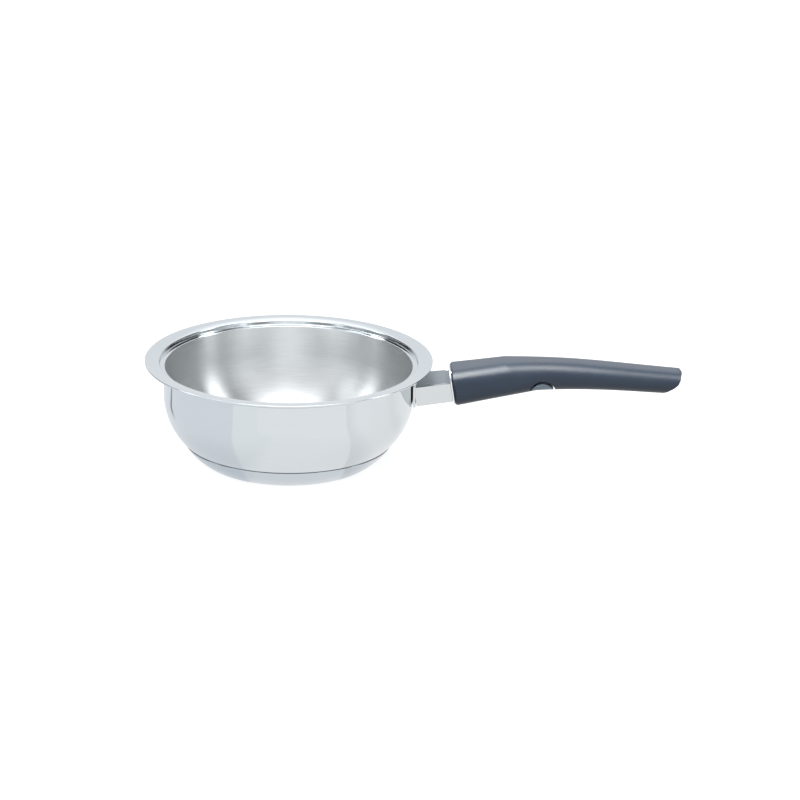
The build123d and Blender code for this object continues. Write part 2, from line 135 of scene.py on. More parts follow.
class ShaderNodes(Nodes):
    """The nodes of a shader tree, which starts empty."""

    prefix = "ShaderNode"

    def __init__(self, tree: bpy.types.NodeTree) -> None:
        """Keeps the tree and empties it."""
        super().__init__(tree)
        tree.nodes.clear()

    def math(self, operation: str, first: Value, second: Value = 0.0,
             third: Value = 0.0) -> bpy.types.NodeSocket:
        """Adds one sum of up to three values.

        Args:
            operation: The Math node's operation.
            first: A value or socket.
            second: A value or socket.
            third: A value or socket.

        Returns:
            The result's socket.
        """
        return self.add("Math", {0: first, 1: second, 2: third}, operation=operation).outputs[0]

    def ramp(self, value: Value, span: Span, to_low: Value = 0.0,
             to_high: Value = 1.0) -> bpy.types.NodeSocket:
        """Maps a range to another with soft ends.

        Args:
            value: The socket to map.
            span: Where the change starts and ends.
            to_low: The result below the change.
            to_high: The result above the change.

        Returns:
            The mapped value's socket.
        """
        node = self.add(
            "MapRange",
            {"Value": value, "From Min": span[0], "From Max": span[1],
             "To Min": to_low, "To Max": to_high},
            interpolation_type="SMOOTHSTEP")
        return node.outputs[0]

    def mix(self, factor: Value, first: Union[Colour, bpy.types.NodeSocket],
            second: Union[Colour, bpy.types.NodeSocket]) -> bpy.types.NodeSocket:
        """Mixes two colours.

        Args:
            factor: A value or socket from 0 to 1.
            first: The colour at 0.
            second: The colour at 1.

        Returns:
            The mixed colour's socket.
        """
        node = self.add("Mix", data_type="RGBA")
        for number, value in ((0, factor), (6, first), (7, second)):
            if isinstance(value, bpy.types.NodeSocket):
                self.tree.links.new(value, node.inputs[number])
            elif number:
                node.inputs[number].default_value = opaque(value)
            else:
                node.inputs[number].default_value = value
        return node.outputs[2]

    def fade(self, factor: Value, first: Value, second: Value) -> bpy.types.NodeSocket:
        """Goes from one value to another.

        Args:
            factor: A value or socket from 0 to 1.
            first: The value at 0.
            second: The value at 1.

        Returns:
            The socket of the value between.
        """
        rest = self.math("SUBTRACT", 1.0, factor)
        return self.math("MULTIPLY_ADD", factor, second, self.math("MULTIPLY", rest, first))

    def noise(self, place: bpy.types.NodeSocket, grain: Grain) -> bpy.types.NodeSocket:
        """Adds one layer of noise.

        Args:
            place: The socket of its coordinates.
            grain: How fine the noise is.

        Returns:
            The noise's socket.
        """
        return self.add("TexNoise", {
            "Vector": place, "Scale": grain.scale, "Detail": grain.detail,
            "Roughness": grain.roughness}).outputs[0]

    def place(self) -> bpy.types.NodeSocket:
        """Socket of the object's own coordinates."""
        return self.add("TexCoord").outputs["Object"]

    def polar(self) -> tuple[bpy.types.NodeSocket, ...]:
        """Object coordinates about the upright axis.

        Returns:
            Sockets of the radius, the height, and the sine and cosine of the angle.
        """
        x, y, z = self.add("SeparateXYZ", {0: self.place()}).outputs
        radius = self.math("MAXIMUM", self.distance(x, y), MM)
        return radius, z, self.math("DIVIDE", y, radius), self.math("DIVIDE", x, radius)

    def distance(self, x: Value, y: Value) -> bpy.types.NodeSocket:
        """Length of a level line with two given parts."""
        squares = self.math("ADD", self.math("POWER", x, 2.0), self.math("POWER", y, 2.0))
        return self.math("SQRT", squares)

    def finish(self, shader: bpy.types.NodeSocket, kind: str = "OutputMaterial") -> None:
        """Joins a shader to the tree's output."""
        self.add(kind, {0: shader})


def new_material(name: str) -> tuple[bpy.types.Material, ShaderNodes]:
    """Makes a material whose tree is still empty.

    Args:
        name: The material's name.

    Returns:
        The material and its nodes.
    """
    material = bpy.data.materials.new(name)
    material.use_nodes = True
    return material, ShaderNodes(material.node_tree)


@dataclass(frozen=True)
class TurnedSteel:
    """Stainless steel with polishing or brushing lines that run round the axis."""

    name: str
    tint: Colour
    roughness: float
    roughness_spread: float
    anisotropy: float
    line_density: float
    line_length: float
    line_depth: float
    tone_spread: float
    line_grain: Grain = Grain(1.0, 3.0, 0.6)
    cloud_grain: Grain = Grain(18.0, 2.0)
    cloud_share: float = 0.4
    line_share: float = 0.6
    noise_span: Span = (0.3, 0.7)
    quarter_turn: float = 0.25

    def build(self) -> bpy.types.Material:
        """Builds the material.

        Returns:
            The finished material.
        """
        material, nodes = new_material(self.name)
        radius, height, sine, cosine = nodes.polar()
        turn = 1.0 / self.line_length
        place = nodes.add("CombineXYZ", {
            0: nodes.math("MULTIPLY", cosine, turn),
            1: nodes.math("MULTIPLY", sine, turn),
            2: nodes.math("MULTIPLY", height, self.line_density),
        }).outputs[0]
        lines = nodes.add("TexNoise", {
            "Vector": place, "W": nodes.math("MULTIPLY", radius, self.line_density),
            "Scale": self.line_grain.scale, "Detail": self.line_grain.detail,
            "Roughness": self.line_grain.roughness,
        }, noise_dimensions="4D").outputs[0]
        cloud = nodes.noise(nodes.place(), self.cloud_grain)
        colour = nodes.mix(
            nodes.ramp(lines, self.noise_span), darker(self.tint, self.tone_spread), self.tint)
        mixed = nodes.math(
            "MULTIPLY_ADD", cloud, self.cloud_share, nodes.math("MULTIPLY", lines, self.line_share))
        roughness = nodes.ramp(
            mixed, self.noise_span, self.roughness - self.roughness_spread,
            self.roughness + self.roughness_spread)
        tangent = nodes.add("CombineXYZ", {
            0: nodes.math("MULTIPLY", sine, -1.0), 1: cosine, 2: 0.0}).outputs[0]
        bump = nodes.add("Bump", {"Height": lines, "Strength": 1.0, "Distance": self.line_depth})
        shader = nodes.add("BsdfPrincipled", {
            "Base Color": colour, "Metallic": 1.0, "Roughness": roughness,
            "Anisotropic": self.anisotropy, "Anisotropic Rotation": self.quarter_turn,
            "Tangent": tangent, "Normal": bump.outputs[0],
        })
        nodes.finish(shader.outputs[0])
        return material


@dataclass(frozen=True)
class PlainSteel:
    """Sheet, wire or blasted steel with an even fine grain."""

    name: str
    tint: Colour
    roughness: float
    roughness_spread: float = 0.05
    grain: float = 3000.0
    grain_depth: float = 2.0e-6
    tone_spread: float = 0.1
    grain_detail: float = 3.0
    grain_roughness: float = 0.6
    cloud_grain: Grain = Grain(60.0, 2.0)
    tone_span: Span = (0.35, 0.65)
    cloud_span: Span = (0.3, 0.7)

    def build(self) -> bpy.types.Material:
        """Builds the material.

        Returns:
            The finished material.
        """
        material, nodes = new_material(self.name)
        place = nodes.place()
        fine = nodes.noise(place, Grain(self.grain, self.grain_detail, self.grain_roughness))
        wide = nodes.noise(place, self.cloud_grain)
        colour = nodes.mix(
            nodes.ramp(fine, self.tone_span), darker(self.tint, self.tone_spread), self.tint)
        roughness = nodes.ramp(
            wide, self.cloud_span, self.roughness - self.roughness_spread,
            self.roughness + self.roughness_spread)
        bump = nodes.add("Bump", {"Height": fine, "Strength": 1.0, "Distance": self.grain_depth})
        shader = nodes.add("BsdfPrincipled", {
            "Base Color": colour, "Metallic": 1.0, "Roughness": roughness,
            "Normal": bump.outputs[0]})
        nodes.finish(shader.outputs[0])
        return material


@dataclass(frozen=True)
class MouldedPlastic:
    """Dark phenolic moulding with a fine satin texture and slightly worn high spots."""

    name: str
    colour: Colour
    roughness: float
    smoother: float = 0.04
    rougher: float = 0.05
    grain: Grain = Grain(2600.0, 4.0, 0.65)
    grain_depth: float = 4.0e-6
    cloud_grain: Grain = Grain(35.0, 3.0)
    worn_gain: float = 1.18
    worn_span: Span = (0.35, 0.7)
    roughness_span: Span = (0.3, 0.7)
    refraction: float = 1.52

    def build(self) -> bpy.types.Material:
        """Builds the material.

        Returns:
            The finished material.
        """
        material, nodes = new_material(self.name)
        place = nodes.place()
        fine = nodes.noise(place, self.grain)
        wide = nodes.noise(place, self.cloud_grain)
        pale = tuple(channel * self.worn_gain for channel in self.colour)
        colour = nodes.mix(nodes.ramp(wide, self.worn_span), self.colour, pale)
        even = nodes.math("MULTIPLY_ADD", fine, 0.5, nodes.math("MULTIPLY", wide, 0.5))
        roughness = nodes.ramp(
            even, self.roughness_span, self.roughness - self.smoother,
            self.roughness + self.rougher)
        bump = nodes.add("Bump", {"Height": fine, "Strength": 1.0, "Distance": self.grain_depth})
        shader = nodes.add("BsdfPrincipled", {
            "Base Color": colour, "Roughness": roughness, "IOR": self.refraction,
            "Normal": bump.outputs[0]})
        nodes.finish(shader.outputs[0])
        return material


@dataclass(frozen=True)
class Finishes:
    """Every finish that the pan wears."""

    outside: TurnedSteel = TurnedSteel(
        "polished_outside", tint=(0.69, 0.725, 0.75), roughness=0.05, roughness_spread=0.015,
        anisotropy=0.2, line_density=2600.0, line_length=0.35, line_depth=0.2e-6, tone_spread=0.02)
    # A darker copy of the outer polish: painted shade for the shaded floor that the base mirrors.
    underside_painted_shade: TurnedSteel = TurnedSteel(
        "polished_base_painted_shade", tint=(0.60, 0.645, 0.685), roughness=0.07, roughness_spread=0.015,
        anisotropy=0.2, line_density=2600.0, line_length=0.35, line_depth=0.2e-6, tone_spread=0.03)
    inside: TurnedSteel = TurnedSteel(
        "brushed_inside", tint=(0.77, 0.785, 0.79), roughness=0.36, roughness_spread=0.03,
        anisotropy=0.9, line_density=2400.0, line_length=0.2, line_depth=0.8e-6, tone_spread=0.10)
    # Dark braze tone: partly the joint's own colour, partly painted shade in the groove.
    braze: PlainSteel = PlainSteel(
        "braze_line_and_shade", tint=(0.16, 0.17, 0.18), roughness=0.5, tone_spread=0.3)
    satin: PlainSteel = PlainSteel(
        "bracket_satin", tint=(0.29, 0.325, 0.355), roughness=0.42, roughness_spread=0.04,
        grain_depth=9.0e-6, tone_spread=0.35)
    bracket_side: PlainSteel = PlainSteel(
        "bracket_bright", tint=(0.67, 0.70, 0.71), roughness=0.1, roughness_spread=0.02,
        grain_depth=0.3e-6, tone_spread=0.03)
    guard: PlainSteel = PlainSteel(
        "guard_sheet", tint=(0.88, 0.90, 0.92), roughness=0.3, roughness_spread=0.03,
        grain_depth=1.0e-6, tone_spread=0.05)
    latch: PlainSteel = PlainSteel(
        "latch_sheet", tint=(0.60, 0.62, 0.64), roughness=0.35, grain=2500.0)
    fastener: PlainSteel = PlainSteel(
        "bright_fastener", tint=(0.66, 0.68, 0.70), roughness=0.22, roughness_spread=0.04,
        grain=2500.0, grain_depth=1.0e-6, tone_spread=0.05)
    wire: PlainSteel = PlainSteel(
        "drawn_wire", tint=(0.42, 0.44, 0.46), roughness=0.3, grain_depth=1.0e-6)
    core: PlainSteel = PlainSteel(
        "core_metal", tint=(0.80, 0.81, 0.82), roughness=0.4, grain=1500.0, tone_spread=0.05)
    handle: MouldedPlastic = MouldedPlastic(
        "handle_moulding", colour=(0.003, 0.0095, 0.021), roughness=0.37)
    plug: MouldedPlastic = MouldedPlastic(
        "plug_moulding", colour=(0.0025, 0.007, 0.015), roughness=0.36)
    # Paler than the handle's moulding: painted light for the floor that the button mirrors.
    button: MouldedPlastic = MouldedPlastic(
        "button_moulding_painted_light", colour=(0.095, 0.125, 0.16), roughness=0.30)


class GeometryNodes(Nodes):
    """A geometry tree made in the script, with named inputs."""

    def __init__(self, name: str, inputs: dict[str, str]) -> None:
        """Makes an empty tree with geometry in and out.

        Args:
            name: The tree's name.
            inputs: The kind of each further input, by name.
        """
        super().__init__(bpy.data.node_groups.new(name, "GeometryNodeTree"))
        face = self.tree.interface
        face.new_socket("Geometry", in_out="OUTPUT", socket_type="NodeSocketGeometry")
        for label, kind in {"Geometry": "Geometry", **inputs}.items():
            face.new_socket(label, in_out="INPUT", socket_type="NodeSocket" + kind)
        self.inlet = self.tree.nodes.new("NodeGroupInput").outputs
        self.outlet = self.tree.nodes.new("NodeGroupOutput").inputs

    def compare(self, operation: str, first: bpy.types.NodeSocket,
                second: bpy.types.NodeSocket) -> bpy.types.NodeSocket:
        """Adds one comparison of two numbers."""
        return self.add("FunctionNodeCompare", {
            0: first, 1: second}, data_type="FLOAT", operation=operation).outputs[0]

    def logic(self, operation: str, first: bpy.types.NodeSocket,
              second: bpy.types.NodeSocket) -> bpy.types.NodeSocket:
        """Adds one step of logic."""
        return self.add("FunctionNodeBooleanMath", {
            0: first, 1: second}, operation=operation).outputs[0]

    def finish(self, geometry: bpy.types.NodeSocket) -> None:
        """Joins geometry to the tree's output."""
        self.tree.links.new(geometry, self.outlet[0])

    def modify(self, obj: bpy.types.Object, values: dict) -> bpy.types.NodesModifier:
        """Puts the tree on an object as a modifier.

        Args:
            obj: The object to change.
            values: The tree's inputs by name.

        Returns:
            The modifier.
        """
        modifier = obj.modifiers.new(self.tree.name, "NODES")
        modifier.node_group = self.tree
        for item in self.tree.interface.items_tree:
            if item.in_out == "INPUT" and item.name in values:
                modifier[item.identifier] = values[item.name]
        return modifier


def turning_tree() -> GeometryNodes:
    """Tree that turns a half outline about the upright axis into a closed surface.

    Returns:
        The tree, with inputs for the segments, the radius of the circle that the outline
        follows, the weld distance and the material.
    """
    made = GeometryNodes("turned_form", {
        "Segments": "Int", "Core radius": "Float", "Weld": "Float", "Finish": "Material"})
    inlet = made.inlet
    outline = made.add("GeometryNodeMeshToCurve", {0: inlet["Geometry"]})
    circle = made.add("GeometryNodeCurvePrimitiveCircle", {
        "Resolution": inlet["Segments"], "Radius": inlet["Core radius"]})
    surface = made.add("GeometryNodeCurveToMesh", {0: circle.outputs[0], 1: outline.outputs[0]})
    welded = made.add("GeometryNodeMergeByDistance", {
        "Geometry": surface.outputs[0], "Distance": inlet["Weld"]})
    smooth = made.add("GeometryNodeSetShadeSmooth", {"Geometry": welded.outputs[0]})
    real = made.add("GeometryNodeRealizeInstances", {0: smooth.outputs[0]})
    dressed = made.add("GeometryNodeSetMaterial", {
        "Geometry": real.outputs[0], "Material": inlet["Finish"]})
    made.finish(dressed.outputs[0])
    return made


def smoothing_tree() -> GeometryNodes:
    """Tree that welds loose triangles and shades them smooth up to a crease.

    Returns:
        The tree, with inputs for the weld distance, the crease angle, and a plane along
        which even a slight edge stays.
    """
    made = GeometryNodes("smooth_shading", {
        "Weld": "Float", "Crease": "Float", "Line place": "Vector", "Line normal": "Vector",
        "Line reach": "Float", "Line crease": "Float"})
    inlet = made.inlet
    welded = made.add("GeometryNodeMergeByDistance", {
        "Geometry": inlet["Geometry"], "Distance": inlet["Weld"]})
    faces = made.add("GeometryNodeSetShadeSmooth", {"Geometry": welded.outputs[0]}, domain="FACE")
    angle = made.add("GeometryNodeInputMeshEdgeAngle").outputs[0]
    place = made.add("GeometryNodeInputPosition").outputs[0]
    from_line = made.add("ShaderNodeVectorMath", {
        0: place, 1: inlet["Line place"]}, operation="SUBTRACT").outputs[0]
    height = made.add("ShaderNodeVectorMath", {
        0: from_line, 1: inlet["Line normal"]}, operation="DOT_PRODUCT").outputs["Value"]
    distance = made.add("ShaderNodeMath", {0: height}, operation="ABSOLUTE").outputs[0]
    line = made.logic(
        "AND", made.compare("LESS_THAN", distance, inlet["Line reach"]),
        made.compare("GREATER_THAN", angle, inlet["Line crease"]))
    kept = made.logic("OR", made.compare("GREATER_THAN", angle, inlet["Crease"]), line)
    edges = made.add("GeometryNodeSetShadeSmooth", {
        "Geometry": faces.outputs[0], "Selection": kept, "Shade Smooth": False}, domain="EDGE")
    made.finish(edges.outputs[0])
    return made


def plain_mesh(obj: bpy.types.Object) -> None:
    """Turns an object's modified shape into a plain closed mesh with outward faces."""
    evaluated = obj.evaluated_get(bpy.context.evaluated_depsgraph_get())
    mesh = bpy.data.meshes.new_from_object(evaluated)
    obj.modifiers.clear()
    obj.data = mesh
    shape = bmesh.new()
    shape.from_mesh(mesh)
    bmesh.ops.recalc_face_normals(shape, faces=shape.faces)
    shape.to_mesh(mesh)
    shape.free()


def shape_object(name: str, shape: bmesh.types.BMesh) -> bpy.types.Object:
    """Turns a finished shape into an object of the scene."""
    mesh = bpy.data.meshes.new(name)
    shape.to_mesh(mesh)
    shape.free()
    obj = bpy.data.objects.new(name, mesh)
    bpy.context.scene.collection.objects.link(obj)
    return obj


def round_edges(shape: bmesh.types.BMesh, edges: list[bmesh.types.BMEdge], offset: float,
                steps: int) -> None:
    """Rounds edges of a shape.

    Args:
        shape: The shape to change.
        edges: Its edges to round.
        offset: How far the rounding reaches from each edge.
        steps: Faces in each rounding.
    """
    bmesh.ops.bevel(
        shape, geom=edges, offset=offset, segments=steps, profile=0.5, affect="EDGES",
        clamp_overlap=True)


def weigh_normals(obj: bpy.types.Object) -> None:
    """Lets large faces lead the shading of an object."""
    weighted = obj.modifiers.new("weighted_normals", "WEIGHTED_NORMAL")
    weighted.keep_sharp = True


def turned_piece(name: str, outline: list[Point], tree: GeometryNodes, sizes: dict,
                 finishes: tuple[bpy.types.Material, bpy.types.Material]) -> bpy.types.Object:
    """Turns an outline into a plain closed mesh.

    Args:
        name: The piece's name.
        outline: Radius and height of each point, from pole to pole.
        tree: The tree that turns it.
        sizes: The tree's sizes by name.
        finishes: The finish of every face, and a second one for later.

    Returns:
        The piece, linked to the scene.
    """
    mesh = bpy.data.meshes.new(name)
    core = sizes["Core radius"]
    points = [(radius - core, -height, 0.0) for radius, height in outline]
    mesh.from_pydata(points, [(i, i + 1) for i in range(len(points) - 1)], [])
    piece = bpy.data.objects.new(name, mesh)
    bpy.context.scene.collection.objects.link(piece)
    tree.modify(piece, {**sizes, "Finish": finishes[0]})
    plain_mesh(piece)
    piece.data.materials.append(finishes[1])
    return piece


def arc(centre: Point, radius: float, start: float, end: float, steps: int) -> list[Point]:
    """Points on an arc, both ends included.

    Args:
        centre: Radius and height of the arc's centre.
        radius: The arc's radius.
        start: Angle of the first point, from the outward direction, upwards.
        end: Angle of the last point.
        steps: How many chords.

    Returns:
        The points.
    """
    angles = [start + (end - start) * i / steps for i in range(steps + 1)]
    return [(centre[0] + radius * math.cos(a), centre[1] + radius * math.sin(a)) for a in angles]


def rounded(corners: list[tuple[float, float, float]], steps: int) -> list[Point]:
    """A line of corners, each with a rounding radius of its own.

    Args:
        corners: Radius, height and rounding of each corner, where 0 leaves it sharp.
        steps: Chords in each rounding.

    Returns:
        The points of the rounded line.
    """
    points = []
    for number, (x, y, radius) in enumerate(corners):
        here = Vector((x, y))
        if radius == 0:
            points.append((x, y))
            continue
        before = (Vector(corners[number - 1][:2]) - here).normalized()
        after = (Vector(corners[number + 1][:2]) - here).normalized()
        half = before.angle(after) / 2
        middle = here + (before + after).normalized() * (radius / math.sin(half))
        first = here + before * (radius / math.tan(half)) - middle
        last = here + after * (radius / math.tan(half)) - middle
        turn = first.angle_signed(last)
        for step in range(steps + 1):
            point = middle + Matrix.Rotation(-turn * step / steps, 2) @ first
            points.append((point.x, point.y))
    return points


@dataclass
class Bowl:
    """The pressed bowl: wide rim flange, stepped lid seat and rounded wall."""

    inner_radius: float = 100.0 * MM
    sheet: float = 1.4 * MM
    flange_width: float = 12.1 * MM
    flange_dish: float = 1.2 * MM
    flange_edge_round: float = 0.9 * MM
    seat_width: float = 4.4 * MM
    seat_depth: float = 3.5 * MM
    seat_corner_round: float = 0.9 * MM
    lip_round: float = 0.8 * MM
    curve_radius: float = 54.0 * MM
    curve_cut: float = 5.0 * MM
    floor_round: float = 20.0 * MM
    segments: int = 288
    floor_steps: int = 12
    corner_steps: int = 14
    side_steps: int = 40
    bend_steps: int = 7
    core: float = 1.0 * MM
    weld: float = 0.01 * MM

    def __post_init__(self) -> None:
        """Takes the rim's and the floor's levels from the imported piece."""
        low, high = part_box("pan_shell")
        self.rim_level = high.z
        self.floor_under = low.z
        self.seat_level = self.rim_level - self.flange_dish - self.seat_depth
        self.curve_level = self.floor_under + self.sheet + self.curve_radius - self.curve_cut
        self.curve_centre = self.inner_radius - self.curve_radius

    def turning(self) -> dict:
        """Sizes for the tree that turns an outline."""
        return {"Segments": self.segments, "Core radius": self.core, "Weld": self.weld}

    def wall(self, offset: float) -> list[Point]:
        """The rounded wall below its straight part, from the axis up.

        Args:
            offset: How far outside the inner face, 0 or the sheet's thickness.

        Returns:
            Points from the axis to the foot of the straight wall.
        """
        floor = self.floor_under + self.sheet - offset
        curve = self.curve_radius + offset
        rounding = self.floor_round + offset
        fall = self.curve_level - floor - rounding
        across = math.sqrt((curve - rounding) ** 2 - fall ** 2)
        angle = math.atan2(fall, across)
        flat = self.curve_centre + across
        level = [(flat * i / self.floor_steps, floor) for i in range(self.floor_steps)]
        corner = arc(
            (flat, floor + rounding), rounding, -math.pi / 2, -angle, self.corner_steps)
        side = arc((self.curve_centre, self.curve_level), curve, -angle, 0.0, self.side_steps)
        return level + corner + side[1:]

    def outline(self) -> list[Point]:
        """The whole sheet's outline, inside first, from axis to axis."""
        seat = self.inner_radius + self.seat_width
        rim = seat + self.flange_width
        flange = self.rim_level - self.flange_dish
        edge = self.sheet / 3
        upper = rounded([
            (self.inner_radius, self.curve_level, 0),
            (self.inner_radius, self.seat_level, self.lip_round),
            (seat, self.seat_level, self.seat_corner_round),
            (seat, flange, self.flange_edge_round),
            (rim, self.rim_level, edge),
            (rim, self.rim_level - self.sheet, edge),
            (seat + self.sheet, flange - self.sheet, self.flange_edge_round),
            (seat + self.sheet, self.seat_level - self.sheet, self.seat_corner_round + self.sheet),
            (self.inner_radius + self.sheet, self.seat_level - self.sheet,
             self.lip_round + self.sheet),
            (self.inner_radius + self.sheet, self.curve_level, 0),
        ], self.bend_steps)
        return self.wall(0.0) + upper[1:-1] + self.wall(self.sheet)[::-1]

    def side(self, radius: float, height: float) -> Side:
        """Which face of the sheet a point lies on, the rim counting as outside."""
        out = max(radius - self.curve_centre, 0.0)
        down = max(self.curve_level - height, 0.0)
        within = math.hypot(out, down) < self.curve_radius + self.sheet / 2
        below_lip = height < self.seat_level - self.lip_round / 2
        return Side.INSIDE if within and below_lip else Side.OUTSIDE

    def build(self, tree: GeometryNodes, outside: bpy.types.Material,
              inside: bpy.types.Material) -> bpy.types.Object:
        """Makes the bowl and gives each face its finish.

        Args:
            tree: The tree that turns an outline.
            outside: Finish of the rim and the outer face.
            inside: Finish of the inner face.

        Returns:
            The bowl.
        """
        bowl = turned_piece("bowl", self.outline(), tree, self.turning(), (outside, inside))
        for face in bowl.data.polygons:
            radius = math.hypot(face.center.x, face.center.y)
            face.material_index = self.side(radius, face.center.z).value
        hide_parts("pan_shell")
        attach(bowl, PAN_BODY)
        return bowl


@dataclass
class Capsule:
    """The pressed cap under the bowl, with the brazed line along its edge, whose dark finish is
    partly painted shade in the groove.
    """

    bowl: Bowl
    sheet: float = 0.8 * MM
    flat_radius: float = 66.0 * MM
    edge_round: float = 3.0 * MM
    curve_radius: float = 46.0 * MM
    lip_round: float = 0.25 * MM
    braze_rise: float = 0.75 * MM
    braze_width: float = 0.55 * MM
    braze_tuck: float = 0.2 * MM
    crown_out: float = 0.35
    crown_up: float = 0.3
    seam_clearance: float = 0.016 * MM
    side_steps: int = 24
    foot_steps: int = 8
    floor_steps: int = 10
    lip_steps: int = 5

    def wall_radius(self, height: float) -> float:
        """Radius of the bowl's outer face at a height on its rounded wall."""
        curve = self.bowl.curve_radius + self.bowl.sheet
        return self.bowl.curve_centre + math.sqrt(curve ** 2 - (self.bowl.curve_level - height) ** 2)

    def outline(self) -> list[Point]:
        """The cap's outer face from its lip down to the axis, closed along the bowl."""
        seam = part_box("base_capsule")[1].z
        top = Vector((self.wall_radius(seam) + self.sheet, seam))
        corner = Vector((self.flat_radius, self.edge_round))
        reach = corner - top
        spread = self.curve_radius - self.edge_round
        inner = math.acos(
            (self.curve_radius ** 2 + reach.length_squared - spread ** 2)
            / (2 * self.curve_radius * reach.length))
        angle = math.atan2(reach.y, reach.x) - inner
        centre = top + Vector((math.cos(angle), math.sin(angle))) * self.curve_radius
        start = math.atan2(top.y - centre.y, top.x - centre.x)
        join = math.atan2(corner.y - centre.y, corner.x - centre.x)
        side = arc(tuple(centre), self.curve_radius, start, join, self.side_steps)
        foot = arc(tuple(corner), self.edge_round, join, -math.pi / 2, self.foot_steps)
        floor = [
            (self.flat_radius * i / self.floor_steps, 0.0)
            for i in reversed(range(self.floor_steps))]
        braze = seam + self.braze_rise
        wall = self.wall_radius(seam)
        lip = rounded([
            (self.wall_radius(braze) - self.braze_tuck, braze, 0),
            (wall + self.braze_width * self.crown_out, seam + self.braze_rise * self.crown_up,
             self.braze_width),
            (wall + self.braze_width, seam, 0),
            (top.x, seam, self.lip_round),
            (*side[1], 0),
        ], self.lip_steps)
        inside = [
            (0.0, self.sheet), (self.flat_radius - self.edge_round, self.sheet),
            (wall - self.sheet, seam - self.sheet)]
        return inside + lip[:-1] + side[1:] + foot[1:] + floor

    def build(self, tree: GeometryNodes, polished: bpy.types.Material,
              braze: bpy.types.Material) -> bpy.types.Object:
        """Makes the cap with its brazed line, darkened partly as painted shade.

        Args:
            tree: The tree that turns an outline.
            polished: Finish of the cap.
            braze: Finish of the line along its edge, a dark braze tone that also paints the groove's
                shade.

        Returns:
            The cap.
        """
        cap = turned_piece(
            "base_cap", self.outline(), tree, self.bowl.turning(), (polished, braze))
        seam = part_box("base_capsule")[1].z
        # The lip above the seam gets the dark braze finish, partly painted shade in the groove.
        for face in cap.data.polygons:
            if face.center.z > seam + self.seam_clearance:
                face.material_index = 1
        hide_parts("base_capsule")
        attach(cap, PAN_BODY)
        return cap


